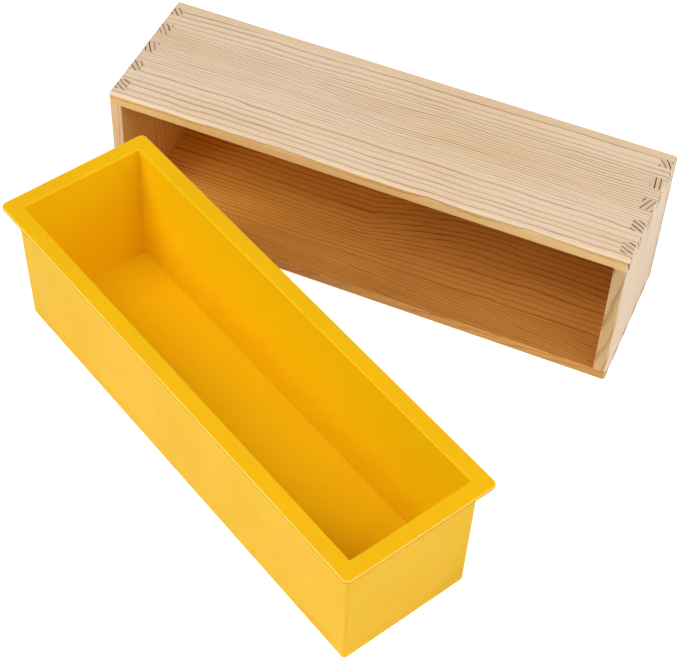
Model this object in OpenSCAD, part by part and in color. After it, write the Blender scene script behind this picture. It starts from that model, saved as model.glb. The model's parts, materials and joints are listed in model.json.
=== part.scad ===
// Soap loaf mould: a finger-jointed wooden box lying on its side, with its
// opening towards -Y, and the silicone liner that drops into it, standing
// upright in front. Millimetres, +Z up. The origin is the middle of the box
// face that lies on the table.

/* [Wooden box] */
// Outside length of the box
box_l = 280; // [200:1:400]
// Outside width of the box, over its two side boards
box_w = 90; // [66:1:140]
// Outside height of the box when it stands upright, bottom board included
box_h = 80; // [60:1:120]
// Thickness of the side and end boards
board_t = 7; // [5:0.5:12]
// Thickness of the bottom board
bottom_t = 5; // [3:0.5:10]
// Rounding of the box's four upright corners
corner_r = 1.5; // [0.5:0.25:3]

/* [Finger joints] */
// Width of one finger of an end board
finger_w = 8; // [5:0.5:12]
// Width of the gap between two fingers
finger_gap = 8; // [5:0.5:12]
// Distance from the open edge of the frame to the first finger
finger_start = 5; // [3:0.5:10]

/* [Silicone liner] */
// Room between the liner and the box wall, all round at the mouth
liner_gap = 1; // [0.5:0.25:3]
// How far each outer wall leans in from the mouth to the foot
draft = 1; // [0.25:0.25:3]
// Wall thickness at the mouth
wall_mouth = 3; // [2:0.25:5]
// Wall thickness at the foot
wall_foot = 4; // [2:0.25:6]
// Thickness of the floor
floor_t = 4.5; // [3:0.5:8]
// Rounding of the liner's upright outer corners
liner_r = 2; // [1:0.25:6]
// Rounding of the upright corners inside the cavity
cavity_r = 1; // [0.5:0.25:4]

/* [Liner rim] */
// How far the flat rim stands out past the liner's walls
rim_w = 5.5; // [3:0.25:7]
// Thickness of the rim
rim_t = 2; // [1.5:0.25:4]
// Rounding of the rim's corners
rim_r = 3; // [1:0.25:8]
// Gap left under the rim when the liner stands on the bottom board
rim_gap = 1; // [0.25:0.25:3]

/* [Layout] */
// Where the liner is
layout = "beside"; // [beside:Standing in front of the box, seated:Inside the box]
// Turn of the liner about the upright axis, in degrees
liner_turn = -28.3; // [-60:0.1:60]
// Shift of the liner along the box, from the middle of its length
liner_shift = -15.4; // [-150:0.1:150]
// Distance from the box's open edge to the nearest corner of the rim
stand_gap = 8.1; // [3:0.1:60]

/* [Hidden] */
round_fn = 48;
hull_fn = 32;
// Overshoot of a cut past the face it opens
cut = 1;
// Height of the thin slabs that a hull is stretched between
slab = 0.01;
// Narrowest finger, or strip beside the last finger, that is worth sawing
finger_min = 3;

pine = "#e2c49c";
pine_base = "#dcc09a";
silicone = "#f4b820";

// Frame of four boards, above the bottom board
frame_h = box_h - bottom_t;
inner_l = box_l - 2 * board_t;
inner_w = box_w - 2 * board_t;

// Fingers of an end board, as [from, to] measured down from the open edge
finger_pitch = finger_w + finger_gap;
function finger_end(from) =
    frame_h - from - finger_w < finger_min ? frame_h : from + finger_w;
fingers = [for (from = [finger_start : finger_pitch : frame_h - finger_min])
           [from, finger_end(from)]];

// Liner outside at the mouth and at the foot, and its cavity at both
mouth_l = inner_l - 2 * liner_gap;
mouth_w = inner_w - 2 * liner_gap;
foot_l = mouth_l - 2 * draft;
foot_w = mouth_w - 2 * draft;
body_h = frame_h + rim_gap;
liner_h = body_h + rim_t;
rim_l = mouth_l + 2 * rim_w;
rim_across = mouth_w + 2 * rim_w;

// Half the depth, along Y, of the turned rim
rim_reach = (rim_l * abs(sin(liner_turn)) + rim_across * abs(cos(liner_turn))) / 2;
liner_y = -box_h / 2 - stand_gap - rim_reach;

// Flat rectangle with round corners, centred
module round_rect(l, w, r) {
    square([l - 2 * r, w], center = true);
    square([l, w - 2 * r], center = true);
    for (x = [-1, 1], y = [-1, 1])
        translate([x * (l / 2 - r), y * (w / 2 - r)]) circle(r = r);
}

// Upright prism of the box's outline, which rounds the boards' outer corners
module box_outline(from, to) {
    translate([0, 0, from])
        linear_extrude(to - from) round_rect(box_l, box_w, corner_r, $fn = round_fn);
}

// The space that the end board's fingers take, at one end of the box
module finger_space(side) {
    for (f = fingers)
        translate([side > 0 ? box_l / 2 - board_t : -box_l / 2 - cut, -box_w / 2 - cut,
                   box_h - f[1]])
            cube([board_t + cut, box_w + 2 * cut, f[1] - f[0]]);
}

// Side board of the upright box, with slots for the fingers at both ends
module side_board(side) {
    intersection() {
        difference() {
            translate([-box_l / 2, side > 0 ? box_w / 2 - board_t : -box_w / 2, bottom_t])
                cube([box_l, board_t, frame_h]);
            finger_space(-1);
            finger_space(1);
        }
        box_outline(bottom_t, box_h);
    }
}

// End board of the upright box: a plate between the side boards, with fingers
module end_board(side) {
    end_x = side > 0 ? box_l / 2 - board_t : -box_l / 2;
    intersection() {
        union() {
            translate([end_x, -inner_w / 2, bottom_t]) cube([board_t, inner_w, frame_h]);
            for (f = fingers)
                translate([end_x, -box_w / 2, box_h - f[1]])
                    cube([board_t, box_w, f[1] - f[0]]);
        }
        box_outline(bottom_t, box_h);
    }
}

// Lays the upright box on its lower side board, opening towards -Y
module lay_down() {
    translate([0, box_h / 2, box_w / 2]) rotate([90, 0, 0]) children();
}

// Solid stretched between two rounded rectangles at two heights
module tapered(low_l, low_w, low_z, high_l, high_w, high_z, r) {
    hull() {
        translate([0, 0, low_z])
            linear_extrude(slab) round_rect(low_l, low_w, r, $fn = hull_fn);
        translate([0, 0, high_z - slab])
            linear_extrude(slab) round_rect(high_l, high_w, r, $fn = hull_fn);
    }
}

// Upright liner, its foot centred on the origin
module upright_liner() {
    difference() {
        union() {
            tapered(foot_l, foot_w, 0, mouth_l, mouth_w, body_h + slab, liner_r);
            translate([0, 0, body_h])
                linear_extrude(rim_t) round_rect(rim_l, rim_across, rim_r, $fn = round_fn);
        }
        tapered(foot_l - 2 * wall_foot, foot_w - 2 * wall_foot, floor_t,
                mouth_l - 2 * wall_mouth, mouth_w - 2 * wall_mouth, liner_h, cavity_r);
        translate([0, 0, liner_h - slab])
            linear_extrude(cut)
                round_rect(mouth_l - 2 * wall_mouth, mouth_w - 2 * wall_mouth, cavity_r,
                           $fn = hull_fn);
    }
}

module lower_side_board() {
    color(pine) lay_down() side_board(-1);
}

module upper_side_board() {
    color(pine) lay_down() side_board(1);
}

module left_end_board() {
    color(pine) lay_down() end_board(-1);
}

module right_end_board() {
    color(pine) lay_down() end_board(1);
}

module bottom_board() {
    color(pine_base) lay_down() box_outline(0, bottom_t);
}

// Beside the box it stands on the table; seated, it stands on the bottom board
module liner() {
    color(silicone)
        if (layout == "seated")
            lay_down() translate([0, 0, bottom_t]) upright_liner();
        else
            translate([liner_shift, liner_y, 0]) rotate([0, 0, liner_turn]) upright_liner();
}

lower_side_board();
upper_side_board();
left_end_board();
right_end_board();
bottom_board();
liner();
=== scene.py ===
# %% [markdown]
# # Soap loaf mould: a pine box and the silicone liner that drops into it
# The CAD model already holds every size and every joint. Here the same pieces get the
# softened edges, the wood grain and the moulded rubber skin that the real ones have.
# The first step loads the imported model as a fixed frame. Every piece made below goes
# exactly where its CAD node is, so its place is read from the frame, never guessed.

# %% Load the frame
import json
import math
import bmesh
import bpy
from mathutils import Matrix, Vector


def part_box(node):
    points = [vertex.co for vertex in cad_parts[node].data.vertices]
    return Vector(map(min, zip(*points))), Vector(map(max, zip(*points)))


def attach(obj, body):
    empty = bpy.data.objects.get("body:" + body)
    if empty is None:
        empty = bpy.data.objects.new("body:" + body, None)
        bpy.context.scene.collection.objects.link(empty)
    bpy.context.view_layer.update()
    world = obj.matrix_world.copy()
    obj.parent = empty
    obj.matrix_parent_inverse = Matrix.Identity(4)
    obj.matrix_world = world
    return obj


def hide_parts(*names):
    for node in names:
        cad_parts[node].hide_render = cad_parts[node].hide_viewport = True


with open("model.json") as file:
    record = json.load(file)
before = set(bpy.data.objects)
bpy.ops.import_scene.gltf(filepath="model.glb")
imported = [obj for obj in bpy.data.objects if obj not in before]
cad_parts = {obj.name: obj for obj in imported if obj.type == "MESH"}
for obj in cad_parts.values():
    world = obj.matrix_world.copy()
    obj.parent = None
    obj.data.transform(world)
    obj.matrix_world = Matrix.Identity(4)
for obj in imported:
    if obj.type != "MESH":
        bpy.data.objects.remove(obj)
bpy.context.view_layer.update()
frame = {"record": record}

# %% [markdown]
# ## Sizes
# Blender counts in metres and a workshop drawing in millimetres, so one short number
# turns one into the other. The box lies on its lower side board with its opening
# towards -Y. Board sizes come from the CAD nodes' own boxes. What a box can't tell,
# such as the width of a finger, is repeated here from the drawing.

# %% Sizes
MM = 0.001


def span(node):
    """A CAD node's lowest and highest corner, in millimetres."""
    low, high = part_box(node)
    return low / MM, high / MM


lower, upper, base = span("lower_side_board"), span("upper_side_board"), span("bottom_board")
BOARD = lower[1].z - lower[0].z
BOX_L, BOX_W = lower[1].x - lower[0].x, upper[1].z
OPEN_Y, FRAME_Y, BACK_Y = lower[0].y, base[0].y, base[1].y
# radii: the jointed corners; the back's edges and the opening's; the front's outer edges
CORNER, EASED, FRONT_EASED = 1.5, 0.6, 1.8
FINGER, PITCH, FIRST_FINGER, FINGERS = 8.0, 16.0, 5.0, 5
print(f"box {BOX_L:.0f} x {BOX_W:.0f} x {BACK_Y - OPEN_Y:.0f} mm, boards {BOARD:.0f} mm")

# %% [markdown]
# ## Camera
# The camera stands well back with a long lens, which keeps the box's edges nearly
# parallel. It is turned about the upright axis, tilted down, and rolled a little.
# Writing it as three turns one after the other is easier to change than a matrix.

# %% Camera
LENS_LENGTH, SENSOR_WIDTH = 97.2, 36.0
CAMERA_AT = (230.6, -641.0, 731.6)
AZIMUTH, ELEVATION, ROLL = math.radians(21.56), math.radians(49.80), math.radians(2.49)
lens = bpy.data.cameras.new("long_lens")
lens.lens, lens.sensor_width = LENS_LENGTH, SENSOR_WIDTH
camera = bpy.data.objects.new("camera", lens)
bpy.context.scene.collection.objects.link(camera)
bpy.context.scene.camera = camera
camera.matrix_world = (Matrix.Translation(Vector(CAMERA_AT) * MM)
                       @ Matrix.Rotation(AZIMUTH, 4, "Z")
                       @ Matrix.Rotation(math.pi / 2 - ELEVATION, 4, "X")
                       @ Matrix.Rotation(ROLL, 4, "Z"))
print("camera at", [round(v, 3) for v in camera.location])

# %% [markdown]
# ## Light
# A product like this is lit in a white tent: light comes from all round, and a few
# large panels give it a direction. The world is the tent's even glow. Big panels
# make soft shadows, because a shadow's edge is as wide as the lamp looks from it. One
# panel stands low on the right, to send a little light in at the box's open side.

# %% Studio light
world = bpy.data.worlds.new("white_tent")
bpy.context.scene.world = world
bpy.context.scene.view_settings.view_transform = "Standard"
MIDDLE = Vector((-0.03, -0.08, 0.04))


def panel(name, place, size, power):
    """A square lamp that faces the middle of the scene, in metres and watts."""
    lamp = bpy.data.lights.new(name, "AREA")
    lamp.shape, lamp.size, lamp.energy = "SQUARE", size, power
    hung = bpy.data.objects.new(name, lamp)
    bpy.context.scene.collection.objects.link(hung)
    hung.location = place
    aim = MIDDLE - Vector(place)
    hung.rotation_mode = "QUATERNION"
    hung.rotation_quaternion = aim.to_track_quat("-Z", "Y")


panel("key_front_left", (-0.8, -0.9, 1.35), 1.0, 21.5)
panel("fill_right", (0.9, -0.5, 1.35), 1.0, 10.2)
panel("low_right", (0.75, -1.35, 0.4), 0.8, 2)
panel("edge_back_right", (1.35, 0.35, 0.8), 1.0, 8)
panel("edge_left", (-1.2, -0.9, 0.8), 1.0, 1.5)

# %% [markdown]
# ## Nodes in one line each
# A material is a small graph of nodes. One function adds a node of any kind: its
# settings go in by name, and what feeds its sockets is a number, a colour or another
# node. A colour mix has several sockets of the same name, so its two colours and its
# result go by number. Colours are written as in any paint program and turned to linear
# light, which is what the renderer counts in.

# %% Node and colour helpers
FIRST, SECOND, MIXED = 6, 7, 2


def add(tree, kind, feeds=(), **settings):
    """Adds a node. feeds are its inputs, in order or by name; None leaves one alone."""
    made = tree.nodes.new(kind)
    for name, value in settings.items():
        setattr(made, name, value)
    for key, value in (feeds.items() if isinstance(feeds, dict) else enumerate(feeds)):
        if isinstance(value, bpy.types.Node):
            value = value.outputs[0]
        if isinstance(value, bpy.types.NodeSocket):
            tree.links.new(value, made.inputs[key])
        elif value is not None:
            made.inputs[key].default_value = value
    return made


def linear(colour):
    """An sRGB hex colour as linear red, green, blue and alpha."""
    parts = [int(colour[i:i + 2], 16) / 255 for i in (1, 3, 5)]
    return (*[c / 12.92 if c <= 0.04045 else ((c + 0.055) / 1.055) ** 2.4
              for c in parts], 1.0)


print("half grey in linear light:", [round(c, 3) for c in linear("#808080")])

# %% [markdown]
# ## The tent's glow
# The tent's cloth is white to look at, but gives only a faint glow next to the lamps,
# so that the shine on the rubber stays soft. Two backgrounds, one for what is seen and
# one for what lights, are mixed by the kind of ray.

# %% White tent
WHITE = (1, 1, 1, 1)
CLOTH_SEEN, CLOTH_GLOW = 1.0, 0.08
world.use_nodes = True
world.node_tree.nodes.clear()
cloth = add(world.node_tree, "ShaderNodeBackground", (WHITE, CLOTH_SEEN))
glow = add(world.node_tree, "ShaderNodeBackground", (WHITE, CLOTH_GLOW))
kind_of_ray = add(world.node_tree, "ShaderNodeLightPath")
tent = add(world.node_tree, "ShaderNodeMixShader",
           (kind_of_ray.outputs["Is Camera Ray"], glow, cloth))
add(world.node_tree, "ShaderNodeOutputWorld", (tent,))
print("tent:", len(world.node_tree.nodes), "nodes")

# %% [markdown]
# ## Pine
# Pine shows its growth rings: each year a wide pale band, then a thin dark line. In the
# tree the rings are tubes around the pith, so a board's pattern follows from where it
# was sawn. Here the distance from a pith line, in millimetres, is counted into rings,
# and the same pattern then runs over every face, edge and finger end as in solid
# wood. An image would have to be fitted to each face by hand. Some boards this wide are
# glued from two strips, each with its own pith, so a glue line parts the two patterns.

# %% Rings around each pith
# millimetres to either side of a change of zone, and out from where the last one starts
SOFT_CHANGE, FAR_OUT = 2, 900


def ring_count(tree, wood, across, uneven, strips):
    """Counts the rings out from each strip's pith, and says how dark their lines are."""
    count = strength = None
    for glue_line, lean, pith, zones in strips:
        flat = add(tree, "ShaderNodeMapping", (wood, None, (math.radians(lean), 0, 0)))
        flat = add(tree, "ShaderNodeVectorMath", (flat, (1, 1, 0)), operation="MULTIPLY")
        radius = add(tree, "ShaderNodeVectorMath", (flat, (*pith, 0)),
                     operation="DISTANCE")
        radius = add(tree, "ShaderNodeMath", (radius.outputs["Value"], uneven),
                     operation="ADD")
        rings, dark = 0.0, zones[0][2]
        # a zone of wide or narrow years ends where the next one starts
        ends = [*zones[1:], (zones[-1][0] + FAR_OUT,)]
        for (inner, width, here), outer in zip(zones, ends):
            step = add(tree, "ShaderNodeMapRange",
                       (radius, inner, outer[0], 0, (outer[0] - inner) / width))
            rings = add(tree, "ShaderNodeMath", (step, rings), operation="ADD")
            if len(outer) > 1:
                step = add(tree, "ShaderNodeMapRange",
                           (radius, outer[0] - SOFT_CHANGE, outer[0] + SOFT_CHANGE,
                            0, outer[2] - here))
                dark = add(tree, "ShaderNodeMath", (step, dark), operation="ADD")
        if count is None:
            count, strength = rings, dark
            continue
        past = add(tree, "ShaderNodeMath", (across, glue_line), operation="LESS_THAN")
        count = add(tree, "ShaderNodeMix", {"Factor": past, "A": count, "B": rings})
        strength = add(tree, "ShaderNodeMix", {"Factor": past, "A": strength, "B": dark})
    return count, strength


print("ring zones blend over", 2 * SOFT_CHANGE, "mm")

# %% [markdown]
# ## The line that each year leaves
# Pale early wood darkens slowly to the late-wood line, then stops at once where the next
# spring began. A colour ramp over one ring gives that. A number drawn for each ring makes
# some years darker than others, and slow noise makes a line come and go along its way,
# as the saw cuts it at another angle. Along the grain the lines are soft. On the
# sawn-through finger ends they are crisp and dark, because open pores swallow the light.

# %% Line of each year
# how far through the year, and how dark the wood is then
RING_TONES = ((0.05, 0.0), (0.62, 0.10), (0.79, 0.85), (0.88, 1.0), (0.95, 0.25))
RING_START = 0.1
WEAK_YEAR, STRONG_YEAR = 0.62, 1.2


def year_lines(tree, grain, count):
    """How dark the wood is within each ring: softly along the grain, crisply across."""
    year = add(tree, "ShaderNodeMath", (count,), operation="FRACT")
    line = add(tree, "ShaderNodeValToRGB", (year,))
    stops = line.color_ramp.elements
    for at, tone in RING_TONES:
        stop = stops.new(at)
        stop.color = (tone, tone, tone, 1)
    stops[0].color = stops[-1].color = (RING_START, RING_START, RING_START, 1)
    which = add(tree, "ShaderNodeMath", (count,), operation="FLOOR")
    luck = add(tree, "ShaderNodeTexWhiteNoise", {"W": which}, noise_dimensions="1D")
    luck = add(tree, "ShaderNodeMapRange", (luck, 0, 1, WEAK_YEAR, STRONG_YEAR))
    # a sawn end shows only the darker part of a year, with hard edges
    crisp = add(tree, "ShaderNodeMapRange", (line, 0.3, 0.6, 0, luck))
    line = add(tree, "ShaderNodeMath", (line, luck), operation="MULTIPLY")
    # 6 mm across the grain and 45 mm along it
    fade = add(tree, "ShaderNodeMapping", (grain, None, None, (1 / 6, 1 / 6, 1 / 45)))
    fade = add(tree, "ShaderNodeTexNoise", {"Vector": fade, "Scale": 1, "Detail": 2})
    fade = add(tree, "ShaderNodeMapRange", (fade, 0.3, 0.7, 0.6, 1.3))
    line = add(tree, "ShaderNodeMath", (line, fade), operation="MULTIPLY")
    return line, crisp


print("tones within a ring:", [tone for _, tone in RING_TONES])

# %% [markdown]
# ## Faces of different tone, and painted shade inside
# A box's faces never match: the outer ones are sanded fresh and the front edges have a
# tone of their own, while the inner faces are painted amber and darker, as painted shade
# and warm bounced light of the hollow. One material per board can still do it: the
# surface's direction tells which face it is, and each face gets a tint of its own that may
# change from one end to the other. Deeper in the box the tints are painted paler, as
# painted light. Daylight is what turns pine
# amber, so deep inside the box the wood has stayed paler.

# %% Tints of the faces
# where a change of tint starts and ends, in millimetres: along a long board, whose
# grain counts leftwards, up an end board, and into the box
ALONG_LONG, UP_END, INTO_BOX = (140, -20), (0, 90), (-30, 35)
# how much paler the tints are painted at the back of the box: painted light
DEEP_PAINTED_LIGHT = 1.15
# how squarely a surface faces a way when that way's tint starts, and when it is full
HALF_TURNED, FACING = 0.6, 0.98


def tints(tree, normal, across, along, turned, face_tints_and_shade, faint):
    """Each face's tint, with painted shade inside the box, and the lines made fainter or
    stronger there.
    """
    low, high = ALONG_LONG if turned else UP_END
    share = add(tree, "ShaderNodeMapRange", (along, low, high, 0, 1))
    # painted light: the tints grow paler towards the back of the box
    deep = add(tree, "ShaderNodeMapRange", (across, *INTO_BOX, 1.0, DEEP_PAINTED_LIGHT))
    tint = WHITE
    for facing, tone_low, tone_high, stronger in face_tints_and_shade:
        side = add(tree, "ShaderNodeVectorMath", (normal, facing), operation="DOT_PRODUCT")
        side = add(tree, "ShaderNodeMapRange",
                   (side.outputs["Value"], HALF_TURNED, FACING, 0, 1))
        here = add(tree, "ShaderNodeMix", {"Factor": share, FIRST: linear(tone_low),
                                           SECOND: linear(tone_high)}, data_type="RGBA")
        here = add(tree, "ShaderNodeVectorMath", (here.outputs[MIXED], deep),
                   operation="MULTIPLY")
        tint = add(tree, "ShaderNodeMix", {"Factor": side, FIRST: tint, SECOND: here},
                   data_type="RGBA").outputs[MIXED]
        stronger = add(tree, "ShaderNodeMapRange", (side, 0, 1, 1, stronger))
        faint = add(tree, "ShaderNodeMath", (faint, stronger), operation="MULTIPLY")
    return tint, faint


print("the wood inside is up to", DEEP_PAINTED_LIGHT, "times paler at the back")

# %% [markdown]
# ## Pine, put together
# The rings are bent a little before they are counted, because no tree grows straight,
# and drift across the board from one end to the other, because no board is sawn dead
# along the pith. The lines then darken the early wood on the faces and the paler sawn
# wood on the finger ends. Fine fibres, long in the grain's direction, streak the colour
# and raise the surface by a tenth of a millimetre at most. Bare wood is rough, with no
# varnish to shine.

# %% A pine maker
GRAIN_X, GRAIN_Z = math.pi / 2, 0.0
# how far rings wander, in millimetres, and the brightest that bare wood may be
WANDER, BRIGHTEST = (1.6, 4.3, 0), 0.92


def pine(name, turned, strips, tones, drift, face_tints_and_shade, wobble=1.0, shine=0.58):
    """Sanded bare pine, in millimetres.
    tones: early wood, late wood, a warm patch, then early and late wood of a sawn end.
    strips: (glue line, lean in degrees, pith, [(radius, ring width, line strength)]).
    drift: (start and end along the grain, how far, full at, gone at across the grain).
    face tints: (facing, tint at the left or bottom, tint at the far end, line strength);
    those facing into the box are painted shade and warm bounced light."""
    made = bpy.data.materials.new(name)
    made.use_nodes = True
    tree = made.node_tree
    tree.nodes.clear()
    spot = add(tree, "ShaderNodeTexCoord")
    # turned so that z runs along the grain and y across the strips
    grain = add(tree, "ShaderNodeMapping",
                (spot.outputs["Object"], None, (0, turned, 0), (1 / MM, 1 / MM, 1 / MM)))
    axes = add(tree, "ShaderNodeSeparateXYZ", (grain,))
    across, along = axes.outputs["Y"], axes.outputs["Z"]
    # rings wander over 26 mm across the grain and 42 mm along it
    bend = add(tree, "ShaderNodeMapping", (grain, None, None, (1 / 26, 1 / 26, 1 / 42)))
    bend = add(tree, "ShaderNodeTexNoise", {"Vector": bend, "Scale": 1, "Detail": 3})
    bend = add(tree, "ShaderNodeVectorMath", (bend.outputs["Color"], (0.5, 0.5, 0.5)),
               operation="SUBTRACT")
    bend = add(tree, "ShaderNodeVectorMath", (bend, WANDER), operation="MULTIPLY")
    # the drift grows with the square of the way along, and fades out across the board
    start, end, shift, full_at, gone_at = drift
    way = add(tree, "ShaderNodeMapRange", (along, start, end, 0, 1))
    way = add(tree, "ShaderNodeMath", (way, 2.0), operation="POWER")
    share = add(tree, "ShaderNodeMapRange", (across, full_at, gone_at, shift, 0),
                interpolation_type="SMOOTHSTEP")
    way = add(tree, "ShaderNodeMath", (way, share), operation="MULTIPLY")
    way = add(tree, "ShaderNodeCombineXYZ", (None, way))
    wood = add(tree, "ShaderNodeVectorMath", (grain, bend), operation="ADD")
    wood = add(tree, "ShaderNodeVectorMath", (wood, way), operation="ADD")
    # good years and bad years, some 5 mm apart: ring widths are never even
    uneven = add(tree, "ShaderNodeMapping", (grain, None, None, (1 / 5, 1 / 5, 1 / 300)))
    uneven = add(tree, "ShaderNodeTexNoise", {"Vector": uneven, "Scale": 1, "Detail": 1})
    uneven = add(tree, "ShaderNodeMapRange", (uneven, 0, 1, -wobble, wobble))
    count, strength = ring_count(tree, wood, across, uneven, strips)
    line, crisp = year_lines(tree, grain, count)
    faint = add(tree, "ShaderNodeMath", (line, strength), operation="MULTIPLY")
    tint, faint = tints(tree, spot.outputs["Normal"], across, along, turned, face_tints_and_shade, faint)
    # fibres about half a millimetre across and a few centimetres long
    fibre = add(tree, "ShaderNodeMapping", (grain, None, None, (1.7, 1.7, 1 / 28)))
    fibre = add(tree, "ShaderNodeTexNoise", {"Vector": fibre, "Scale": 1, "Detail": 4})
    # warmer and paler patches as wide as a finger
    patch = add(tree, "ShaderNodeMapping", (grain, None, None, (1 / 17, 1 / 17, 1 / 110)))
    patch = add(tree, "ShaderNodeTexNoise", {"Vector": patch, "Scale": 1, "Detail": 2})
    patch = add(tree, "ShaderNodeMapRange", (patch, 0.45, 0.7, 0, 1))
    pale, dark, warm, end_pale, end_dark = [linear(t) for t in tones]
    body = add(tree, "ShaderNodeMix", {"Factor": patch, FIRST: pale, SECOND: warm},
               data_type="RGBA")
    face = add(tree, "ShaderNodeMix",
               {"Factor": faint, FIRST: body.outputs[MIXED], SECOND: dark},
               data_type="RGBA")
    sawn = add(tree, "ShaderNodeMix",
               {"Factor": crisp, FIRST: end_pale, SECOND: end_dark}, data_type="RGBA")
    # end grain shows where the surface faces along the grain
    axis = (1, 0, 0) if turned else (0, 0, 1)
    ends = add(tree, "ShaderNodeVectorMath", (spot.outputs["Normal"], axis),
               operation="DOT_PRODUCT")
    ends = add(tree, "ShaderNodeMath", (ends.outputs["Value"],), operation="ABSOLUTE")
    ends = add(tree, "ShaderNodeMapRange", (ends, 0.6, 0.9, 0, 1))
    skin = add(tree, "ShaderNodeMix",
               {"Factor": ends, FIRST: face.outputs[MIXED], SECOND: sawn.outputs[MIXED]},
               data_type="RGBA")
    streak = add(tree, "ShaderNodeMapRange", (fibre, 0.3, 0.7, 0.95, 1.04))
    skin = add(tree, "ShaderNodeVectorMath", (skin.outputs[MIXED], streak),
               operation="MULTIPLY")
    skin = add(tree, "ShaderNodeVectorMath", (skin, tint), operation="MULTIPLY")
    skin = add(tree, "ShaderNodeVectorMath", (skin, (BRIGHTEST, BRIGHTEST, BRIGHTEST)),
               operation="MINIMUM")
    # the hard late wood stands a little proud of the sanded early wood
    rise = add(tree, "ShaderNodeMath", (faint, 0.15, fibre), operation="MULTIPLY_ADD")
    bump = add(tree, "ShaderNodeBump",
               {"Strength": 0.3, "Distance": 0.1 * MM, "Height": rise})
    rough = add(tree, "ShaderNodeMapRange", (fibre, 0.3, 0.7, shine - 0.05, shine + 0.06))
    shader = add(tree, "ShaderNodeBsdfPrincipled",
                 {"Base Color": skin, "Roughness": rough, "Normal": bump, "IOR": 1.5})
    add(tree, "ShaderNodeOutputMaterial", (shader,))
    print(f"{name}: {len(strips)} strip(s), {len(tree.nodes)} nodes")
    return made


# %% [markdown]
# ## The five boards' wood
# Tones are listed for new, kiln-dried pine: cream early wood, straw late wood, and
# brown end grain. Each board came from another place in the tree, so each has its own
# pith and ring widths. The pith's place is given across the grain, in millimetres.
# The lower board's tones are warmer throughout.

# %% Pine for each board
FRESH = ("#EDD3B5", "#A8825A", "#EACBA6", "#DFC1A0", "#2C1204")
PALE = ("#EDD8BE", "#AC865D", "#E8CDAB", "#DFC1A0", "#2C1204")
BACK = ("#E9CCA8", "#B08C62", "#E6C69C", "#D9BA94", "#7C5232")
WARM = ("#FDD08C", "#A86C34", "#F4C482", "#C39A66", "#341606")
# painted shade: inner faces are tinted this warmer, darker amber for the shade and warm
# bounced light of the hollow
INNER_SHADE_TINT = "#FFEDC0"
# the ways that tinted faces look: out at the opening, and into the hollow
FRONT, UP, DOWN, LEFT, RIGHT = (0, -1, 0), (0, 0, 1), (0, 0, -1), (-1, 0, 0), (1, 0, 0)
MID_END = round((BOX_L - BOARD) / 2, 1)
# each board's tint on its inner face, the one facing into the box, is painted shade and warm
# bounced light; a side or end board's front tint is that edge's own tone
top_pine = pine(
    "pine_upper_board", GRAIN_X,
    [(None, 0, (210, 300), [(0, 3.7, 0.7), (301.5, 1.72, 0.9), (336.8, 3.5, 0.7)])],
    FRESH, (-140, 140, 5.0, 40, -10),
    [(DOWN, INNER_SHADE_TINT, INNER_SHADE_TINT, 1.0), (FRONT, "#FFEEB4", "#F8E8B8", 0.7)], 1.2)
low_pine = pine(
    "pine_lower_board", GRAIN_X,
    [(None, 0, (-120, 340), [(0, 3.7, 0.75)]),
     (-20, 3.5, (-150, 340), [(0, 1.6, 0.7)])],
    WARM, (-60, 12, 15.0, 4, -22),
    # inner face: painted light and shade, bright at the left end and darker at the right
    [(UP, "#FFE696", "#BE9F66", 1.0), (FRONT, "#D8B060", "#CCB888", 0.6)], 1.6)
right_pine = pine(
    "pine_right_end", GRAIN_Z,
    [(None, 0, (MID_END - 28, 13.5), [(0, 2.5, 0.35)]),
     (-6, 5, (MID_END + 16.6, 9.6), [(0, 2.4, 0.45)])], PALE, (0, 90, 0.5, 40, -40),
    [(LEFT, INNER_SHADE_TINT, INNER_SHADE_TINT, 1.0), (FRONT, "#E0CFAC", "#E0CFAC", 2.2)], 0.6)
left_pine = pine(
    "pine_left_end", GRAIN_Z,
    [(None, 0, (-MID_END - 80, -50), [(0, 2.5, 0.4)]),
     (-6, 0, (-MID_END + 68, 65), [(0, 2.5, 0.4)])], PALE, (0, 90, 0.5, 40, -40),
    # inner face: painted shade and warm bounced light, in a strong amber
    [(RIGHT, "#FFE298", "#FFE298", 1.3), (FRONT, "#FFF0D8", "#FFF0D8", 1.0)], 0.6)
base_pine = pine(
    "pine_bottom_board", GRAIN_X,
    [(None, 0, (-60, 96), [(0, 3.4, 0.5)])],
    BACK, (-140, 140, 3.0, 60, 0), [(FRONT, INNER_SHADE_TINT, INNER_SHADE_TINT, 1.0)], 1.6)
print("end boards' middles at", MID_END, "mm either side")
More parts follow.
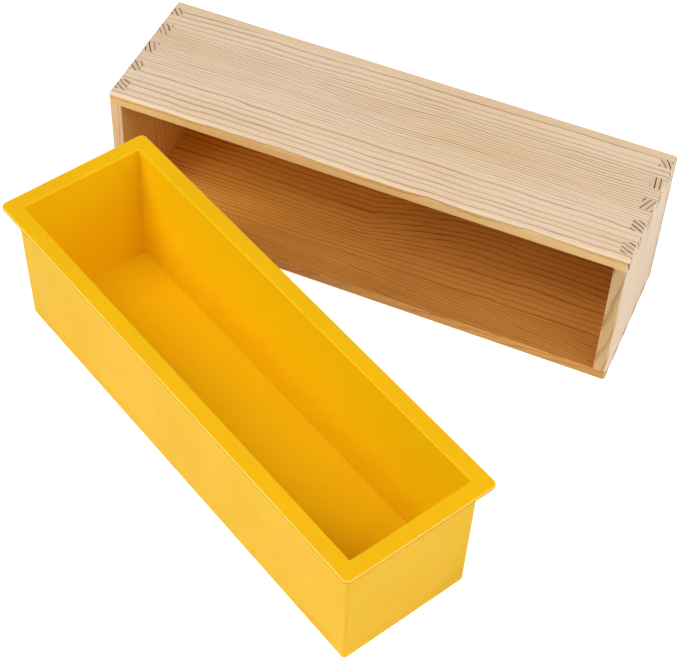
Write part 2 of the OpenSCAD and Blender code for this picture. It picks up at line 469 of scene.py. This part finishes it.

# %% [markdown]
# ## Silicone
# The liner is cast from platinum-cured silicone rubber with a yellow pigment. A fresh
# casting copies the mould it was made in, here a satin one, so it has no gloss but
# a soft sheen. Light goes a little way in and comes back deeper in colour, which is
# what subsurface scattering does. IOR 1.41 is silicone's own. Two marks on the faces of
# the mesh, made with the liner below, tell the material where the cavity and the rim's
# edge are, for the light and shade painted there: one node reads each of them.

# %% Silicone
def silicone_rubber(name):
    """Cast rubber in satin yellow, painted brighter in the cavity, with a painted highlight
    and shadow on the rim's edge.
    """
    made = bpy.data.materials.new(name)
    made.use_nodes = True
    tree = made.node_tree
    tree.nodes.clear()
    spot = add(tree, "ShaderNodeTexCoord")
    # the pigment is stirred in by hand, so the tone drifts over several centimetres
    cloud = add(tree, "ShaderNodeTexNoise",
                {"Vector": spot.outputs["Object"], "Scale": 22, "Detail": 3})
    cloud = add(tree, "ShaderNodeMapRange", (cloud, 0.35, 0.65, 0, 1))
    tone = add(tree, "ShaderNodeMix", {"Factor": cloud, FIRST: linear("#F1BE0C"),
                                       SECOND: linear("#EDB909")}, data_type="RGBA")
    # painted light: the cavity is painted a brighter, cleaner yellow, standing in for light
    # in the hollow
    inside = add(tree, "ShaderNodeAttribute", attribute_name="cavity")
    tone = add(tree, "ShaderNodeMix",
               {"Factor": inside.outputs["Fac"], FIRST: tone.outputs[MIXED],
                SECOND: linear("#FBCC03")}, data_type="RGBA")
    # painted highlight along the rim's upper arris, and a painted shadow on the edge below
    # it
    edge = add(tree, "ShaderNodeAttribute", attribute_name="edge").outputs["Fac"]
    tone = add(tree, "ShaderNodeMix", {"Factor": edge, FIRST: tone.outputs[MIXED],
                                       SECOND: linear("#FAD05C")}, data_type="RGBA")
    rim_painted_shadow = add(tree, "ShaderNodeMapRange", (edge, 0, -1, 0, 1))
    tone = add(tree, "ShaderNodeMix", {"Factor": rim_painted_shadow, FIRST: tone.outputs[MIXED],
                                       SECOND: linear("#CF9A14")}, data_type="RGBA")
    # the mould's satin finish: grains of a third of a millimetre
    satin = add(tree, "ShaderNodeTexNoise",
                {"Vector": spot.outputs["Object"], "Scale": 3000, "Detail": 2})
    bump = add(tree, "ShaderNodeBump",
               {"Strength": 0.2, "Distance": 0.05 * MM, "Height": satin})
    rough = add(tree, "ShaderNodeMapRange", (cloud, 0, 1, 0.44, 0.52))
    shader = add(tree, "ShaderNodeBsdfPrincipled",
                 {"Base Color": tone.outputs[MIXED], "Roughness": rough, "Normal": bump,
                  "IOR": 1.41, "Specular IOR Level": 0.28, "Subsurface Weight": 0.8,
                  "Subsurface Radius": (1.0, 0.6, 0.1), "Subsurface Scale": 1.5 * MM})
    add(tree, "ShaderNodeOutputMaterial", (shader,))
    return made


silicone = silicone_rubber("yellow_silicone_rubber")
print(silicone.name, len(silicone.node_tree.nodes), "nodes")

# %% [markdown]
# ## A skin through rounded rectangles
# Both the outline of the box and the liner are a stack of rounded rectangles. A loft
# joins each ring to the next, so one list of rings, read like a profile drawing from
# the foot up and back down inside, gives the whole closed skin with every edge eased.
# A cube with modifiers could not give walls that lean and a rim at the same time.

# %% Loft
CORNER_STEPS = 8


def ring_points(length, width, radius, height):
    """The points of one rounded rectangle, counter-clockwise seen from above."""
    points = []
    for quarter, (sx, sy) in enumerate(((1, 1), (-1, 1), (-1, -1), (1, -1))):
        for step in range(CORNER_STEPS + 1):
            turn = math.radians(90 * quarter + 90 * step / CORNER_STEPS)
            points.append(Vector((sx * (length / 2 - radius) + radius * math.cos(turn),
                                  sy * (width / 2 - radius) + radius * math.sin(turn),
                                  height)))
    return points


def loft(name, rings, place):
    """A closed mesh through the rings, in millimetres, put in place by a matrix."""
    shape = bmesh.new()
    rows = [[shape.verts.new(place @ (p * MM)) for p in ring_points(*ring)]
            for ring in rings]
    for under, over in zip(rows, rows[1:]):
        for i, corner in enumerate(under):
            after = (i + 1) % len(under)
            shape.faces.new((corner, under[after], over[after], over[i]))
    shape.faces.new(list(reversed(rows[0])))
    shape.faces.new(rows[-1])
    mesh = bpy.data.meshes.new(name)
    shape.to_mesh(mesh)
    shape.free()
    made = bpy.data.objects.new(name, mesh)
    bpy.context.scene.collection.objects.link(made)
    print(f"{name}: {len(mesh.polygons)} faces")
    return made


EDGE_STEPS = 4
# the smallest corner radius that a ring may have, in millimetres
SHARP = 0.2


def eased(length, width, radius, height, across, upward, to_wall):
    """Rings of a quarter-round between a flat face at a height and an upright wall.
    across and upward are its size with a sign: which way the flat and the wall lie."""
    rings = []
    for step in range(EDGE_STEPS + 1):
        turn = math.radians(90 * step / EDGE_STEPS)
        inset, lift = 1 - math.sin(turn), 1 - math.cos(turn)
        if not to_wall:
            inset, lift = lift, inset
        inset, lift = inset * across, lift * upward
        rings.append((length - 2 * inset, width - 2 * inset,
                      max(radius - inset, SHARP), height + lift))
    return rings


print("corners in", CORNER_STEPS, "steps, eased edges in", EDGE_STEPS)

# %% [markdown]
# ## The box as one softened block
# After gluing, the whole box is sanded, which takes the sharpness off its outer edges
# and off the inner edge of the opening, but leaves the finger joints flush. So the
# softening belongs to the box and not to a board. This block is that shape: the outside,
# then the opening's edge in two facets, the second of which runs on into a hollow that
# stays clear of the boards. Each board is cut out of the block below, and the block
# itself is not kept.

# %% Softened block
LAY_DOWN = (Matrix.Translation(Vector((0, BACK_Y, BOX_W / 2)) * MM)
            @ Matrix.Rotation(math.pi / 2, 4, "X"))
HEIGHT = BACK_Y - OPEN_Y
INNER_L, INNER_W = BOX_L - 2 * BOARD, BOX_W - 2 * BOARD
FACET, CLEAR = 0.3, 1
mouth = [(INNER_L + 2 * out, INNER_W + 2 * out, SHARP, HEIGHT - down * EASED)
         for out, down in ((EASED, 0), (FACET * EASED, FACET),
                           (-CLEAR, 1 + (1 - FACET) / FACET * CLEAR / EASED))]
block = loft("softened_block",
             eased(BOX_L, BOX_W, CORNER, 0, EASED, EASED, True)
             + eased(BOX_L, BOX_W, CORNER, HEIGHT, FRONT_EASED, -FRONT_EASED, False)
             + mouth + [(INNER_L - 2 * CLEAR, INNER_W - 2 * CLEAR, SHARP,
                         BACK_Y - FRAME_Y + CLEAR)],
             LAY_DOWN)

# %% [markdown]
# ## One tree that saws every board
# Finger joints follow a rule: the same cutter is moved along the board's end by one
# pitch, again and again, and at both ends at once. That is work for Geometry Nodes: a
# grid of points carries the cutter, and one Boolean takes all the slots out. A second
# Boolean keeps what lies inside the softened block. The side boards' slots and the end
# boards' slots differ only in where the first one starts, so one tree makes them all.

# %% What the tree is told
BOARD_INPUTS = {"Geometry": "Geometry", "Block": "Object", "Length": "Float",
                "Depth": "Float", "Thickness": "Float", "Waste": "Float", "Slots": "Int",
                "First slot": "Float", "Slot width": "Float", "Pitch": "Float",
                "Slot depth": "Float", "Turn": "Rotation", "Place": "Vector",
                "Wood": "Material"}
print("a board is told", len(BOARD_INPUTS), "things")


# %% Board tree
def board_tree():
    """Saws a plate with slots at both ends and keeps what lies inside the block."""
    tree = bpy.data.node_groups.new("sawn_board", "GeometryNodeTree")
    for name, kind in BOARD_INPUTS.items():
        tree.interface.new_socket(name, in_out="INPUT", socket_type="NodeSocket" + kind)
    tree.interface.new_socket("Geometry", in_out="OUTPUT",
                              socket_type="NodeSocketGeometry")
    given = tree.nodes.new("NodeGroupInput").outputs

    def sums(*steps):
        """Adds up inputs times factors."""
        total = 0.0
        for value, factor in steps:
            total = add(tree, "ShaderNodeMath", (value, factor, total),
                        operation="MULTIPLY_ADD")
        return total

    def box(size, centre):
        """A block with these three sides, moved to a centre."""
        side = add(tree, "ShaderNodeCombineXYZ", size)
        made = add(tree, "GeometryNodeMeshCube", {"Size": side})
        return add(tree, "GeometryNodeTransform",
                   {"Geometry": made,
                    "Translation": add(tree, "ShaderNodeCombineXYZ", centre)})

    plate = box((sums((given["Length"], 1), (given["Waste"], 2)),
                 sums((given["Depth"], 1), (given["Waste"], 1)),
                 sums((given["Thickness"], 1), (given["Waste"], 1))),
                (0.0, sums((given["Depth"], 0.5), (given["Waste"], -0.5)),
                 sums((given["Thickness"], 0.5), (given["Waste"], 0.5))))
    cutter = box((sums((given["Slot depth"], 1), (given["Waste"], 2)),
                  given["Slot width"],
                  sums((given["Thickness"], 4), (given["Waste"], 4))), (0.0, 0.0, 0.0))
    rows = add(tree, "ShaderNodeMath", (given["Slots"], 1), operation="SUBTRACT")
    run = add(tree, "ShaderNodeMath", (rows, given["Pitch"]), operation="MULTIPLY")
    marks = add(tree, "GeometryNodeMeshGrid",
                {"Size X": sums((given["Length"], 1), (given["Slot depth"], -1),
                                (given["Waste"], 2)),
                 "Size Y": run, "Vertices X": 2, "Vertices Y": given["Slots"]})
    middle = sums((given["First slot"], 1), (given["Slot width"], 0.5), (run, 0.5))
    marks = add(tree, "GeometryNodeTransform",
                {"Geometry": marks,
                 "Translation": add(tree, "ShaderNodeCombineXYZ", (0.0, middle, 0.0))})
    slots = add(tree, "GeometryNodeInstanceOnPoints",
                {"Points": marks, "Instance": cutter})
    slots = add(tree, "GeometryNodeRealizeInstances", (slots,))
    sawn = add(tree, "GeometryNodeMeshBoolean", {"Mesh 1": plate, "Mesh 2": slots},
               operation="DIFFERENCE")
    sawn = add(tree, "GeometryNodeTransform",
               {"Geometry": sawn, "Translation": given["Place"],
                "Rotation": given["Turn"]})
    stock = add(tree, "GeometryNodeObjectInfo", (given["Block"],))
    kept = add(tree, "GeometryNodeMeshBoolean",
               {"Mesh 2": stock.outputs["Geometry"]}, operation="INTERSECT")
    tree.links.new(sawn.outputs[0], kept.inputs["Mesh 2"])
    done = add(tree, "GeometryNodeRealizeInstances", (kept,))
    done = add(tree, "GeometryNodeSetMaterial",
               {"Geometry": done, "Material": given["Wood"]})
    add(tree, "NodeGroupOutput", (done,))
    print("sawn_board:", len(tree.nodes), "nodes")
    return tree


sawing = board_tree()

# %% [markdown]
# ## From a tree to a plain mesh
# A tree is a recipe that Blender runs again and again. The finished board should be a
# plain mesh, so the recipe is run once and its result kept. Flat faces are then shaded
# flat and eased edges round: weighted normals let the big face win at each corner.
# Each board is sawn a little oversize, so that only the block decides its outside.

# %% Finish helpers
WASTE = 1.0
SHARP_FROM = math.radians(32)


def plain(name, source, material=None):
    """The evaluated source as a plain mesh object, shaded smooth over its eased edges."""
    result = source.evaluated_get(bpy.context.evaluated_depsgraph_get())
    mesh = bpy.data.meshes.new_from_object(result)
    bpy.data.objects.remove(source)
    mesh.name = name
    if material:
        mesh.materials.clear()
        mesh.materials.append(material)
    mesh.polygons.foreach_set("use_smooth", [True] * len(mesh.polygons))
    mesh.set_sharp_from_angle(angle=SHARP_FROM)
    made = bpy.data.objects.new(name, mesh)
    bpy.context.scene.collection.objects.link(made)
    even = made.modifiers.new("even_shading", "WEIGHTED_NORMAL")
    even.keep_sharp = True
    return made


def board(name, node, wood, turn, place, length, depth, slots=0, first=0.0):
    """Saws one board and lets it stand for its CAD node. No slots: the bottom board."""
    blank = bpy.data.objects.new("blank", bpy.data.meshes.new("blank"))
    bpy.context.scene.collection.objects.link(blank)
    saw = blank.modifiers.new("saw", "NODES")
    saw.node_group = sawing
    sizes = {"Block": block, "Wood": wood, "Slots": slots,
             "Turn": turn, "Place": Vector(place) * MM, "Waste": WASTE * MM,
             "Length": length * MM, "Depth": depth * MM,
             "Thickness": (BOARD if slots else BACK_Y - FRAME_Y) * MM,
             "First slot": first * MM, "Slot width": FINGER * MM, "Pitch": PITCH * MM,
             "Slot depth": BOARD * MM}
    for item in sawing.interface.items_tree:
        if item.in_out == "INPUT" and item.name in sizes:
            saw[item.identifier] = sizes[item.name]
    made = plain(name, blank)
    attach(made, "wooden_box")
    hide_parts(node)
    print(f"{name}: {len(made.data.polygons)} faces")
    return made


# %% [markdown]
# ## The boards
# The two side boards run the length of the box, and the end boards stand between them.
# An end board's fingers fill the side boards' slots, so its own slots start half a
# pitch earlier. The bottom board has no slots: it is glued over the frame's back.

# %% Boards
FRAME_DEPTH = FRAME_Y - OPEN_Y
QUARTER_TURN = math.pi / 2
SIDE_FIRST, END_FIRST = FIRST_FINGER, FIRST_FINGER + FINGER - PITCH
board("upper_side", "upper_side_board", top_pine, (0, 0, 0),
      (0, OPEN_Y, BOX_W - BOARD), BOX_L, FRAME_DEPTH, FINGERS, SIDE_FIRST)
board("lower_side", "lower_side_board", low_pine, (0, math.pi, 0),
      (0, OPEN_Y, BOARD), BOX_L, FRAME_DEPTH, FINGERS, SIDE_FIRST)
board("left_end", "left_end_board", left_pine, (0, -QUARTER_TURN, 0),
      (BOARD - BOX_L / 2, OPEN_Y, BOX_W / 2), BOX_W, FRAME_DEPTH, FINGERS, END_FIRST)
board("right_end", "right_end_board", right_pine, (0, QUARTER_TURN, 0),
      (BOX_L / 2 - BOARD, OPEN_Y, BOX_W / 2), BOX_W, FRAME_DEPTH, FINGERS, END_FIRST)
board("bottom", "bottom_board", base_pine, (-QUARTER_TURN, 0, 0),
      (0, FRAME_Y, BOX_W), BOX_L, BOX_W + WASTE)
bpy.data.objects.remove(block)

# %% [markdown]
# ## The liner
# The liner is one casting: a tub whose walls lean in a little towards the foot so that
# it comes out of its mould, with a thin flat rim to lift it by. The list of rings goes
# from the foot up the outside, round the rim, over the lip and down to the floor. Every
# edge is eased, because a sharp one would trap air when the rubber is poured.

# %% Liner
FOOT, MOUTH, RIM = (262, 72), (264, 74), (275, 85)
CAVE_FLOOR, CAVE_MOUTH = (254, 64), (258, 68)
FLOOR, UNDER_RIM, TOP = 4.5, 76.0, 78.0
BODY_ROUND, RIM_ROUND, CAVE_ROUND = 2, 3, 1
FOOT_EASED, NECK_EASED, FLOOR_EASED = 1.2, 0.5, 0.4
RIM_FOOT_EASED, RIM_TOP_EASED, LIP_EASED = 0.5, 0.6, 0.35
LINER_TURN = math.radians(-28.3)
feet = {m["name"]: Vector(m["pos_m"]) for m in frame["record"]["mounts"]}
print("liner stands at", feet["liner_foot"])
STAND = Matrix.Translation(feet["liner_foot"]) @ Matrix.Rotation(LINER_TURN, 4, "Z")
rings = (
    eased(*FOOT, BODY_ROUND, 0, FOOT_EASED, FOOT_EASED, True)
    + eased(*MOUTH, BODY_ROUND, UNDER_RIM, -NECK_EASED, -NECK_EASED, False)
    + eased(*RIM, RIM_ROUND, UNDER_RIM, RIM_FOOT_EASED, RIM_FOOT_EASED, True)
    + eased(*RIM, RIM_ROUND, TOP, RIM_TOP_EASED, -RIM_TOP_EASED, False)
    + eased(*CAVE_MOUTH, CAVE_ROUND, TOP, -LIP_EASED, -LIP_EASED, True)
    + eased(*CAVE_FLOOR, CAVE_ROUND, FLOOR, FLOOR_EASED, FLOOR_EASED, False))
liner = plain("liner_casting", loft("liner_rings", rings, STAND), silicone)

# %% [markdown]
# ## Marks for the silicone's painted light and shade
# The material above reads a number from each face of the liner: 1 in the cavity, which it
# paints brighter, and on the rim's edge 1 along the upper arris for a painted highlight
# and -1 below it for a painted shadow. A face's middle, taken back to where the liner
# was drawn, tells which of these it is.

# %% Marks
HAIR, NEAR_LIP, ARRIS = 0.1, 0.4, 0.5
to_drawing = STAND.inverted()
cavity = liner.data.attributes.new("cavity", "FLOAT", "FACE")
edge = liner.data.attributes.new("edge", "FLOAT", "FACE")
for face in liner.data.polygons:
    middle = to_drawing @ face.center / MM
    in_cavity = (middle.z > FLOOR - HAIR and abs(middle.x) < CAVE_MOUTH[0] / 2 + NEAR_LIP
                 and abs(middle.y) < CAVE_MOUTH[1] / 2 + NEAR_LIP)
    cavity.data[face.index].value = in_cavity
    under_top = TOP - middle.z
    if not in_cavity and HAIR / 2 < under_top < TOP - UNDER_RIM + HAIR:
        # 1 marks a painted highlight, -1 a painted shadow
        edge.data[face.index].value = 1 if under_top < ARRIS else -1
print("faces of the cavity:", sum(m.value > 0 for m in cavity.data),
      "of the rim's edge:", sum(m.value != 0 for m in edge.data))
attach(liner, "silicone_liner")
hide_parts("liner")

# %% [markdown]
# ## The table
# Everything stands on a plain white sweep, big enough that its edge never shows. It is
# not part of the object. To the eye the paper is lit from below, and fully so away from
# the mould, which is how a studio gets an even white. To the mould it gives only a faint
# glow, so that the boards' undersides keep their depth.

# %% Table
REACH = 6.0
PAPER_ROUGH = 0.9
# metres from the middle, the paper's own light there, and what of it lights the mould
NEAR, FAR, SEEN_NEAR, SEEN_FAR, GIVEN = 0.35, 0.9, 0.6, 1.0, 0.12
sweep = bpy.data.materials.new("white_paper_sweep")
sweep.use_nodes = True
paper = sweep.node_tree.nodes["Principled BSDF"]
paper.inputs["Base Color"].default_value = linear("#F4F4F3")
paper.inputs["Roughness"].default_value = PAPER_ROUGH
paper.inputs["Emission Color"].default_value = WHITE
on_paper = add(sweep.node_tree, "ShaderNodeTexCoord")
away = add(sweep.node_tree, "ShaderNodeVectorMath", (on_paper.outputs["Object"],),
           operation="LENGTH")
lit = add(sweep.node_tree, "ShaderNodeMapRange",
          (away.outputs["Value"], NEAR, FAR, SEEN_NEAR, SEEN_FAR))
paper_ray = add(sweep.node_tree, "ShaderNodeLightPath")
lit = add(sweep.node_tree, "ShaderNodeMapRange",
          (paper_ray.outputs["Is Camera Ray"], 0, 1, GIVEN, lit))
sweep.node_tree.links.new(lit.outputs[0], paper.inputs["Emission Strength"])
floor_mesh = bpy.data.meshes.new("table")
floor_mesh.from_pydata([(-REACH, -REACH, 0), (REACH, -REACH, 0), (REACH, REACH, 0),
                        (-REACH, REACH, 0)], [], [(0, 1, 2, 3)])
floor_mesh.materials.append(sweep)
table = bpy.data.objects.new("table", floor_mesh)
bpy.context.scene.collection.objects.link(table)
print("table:", 2 * REACH, "m square")
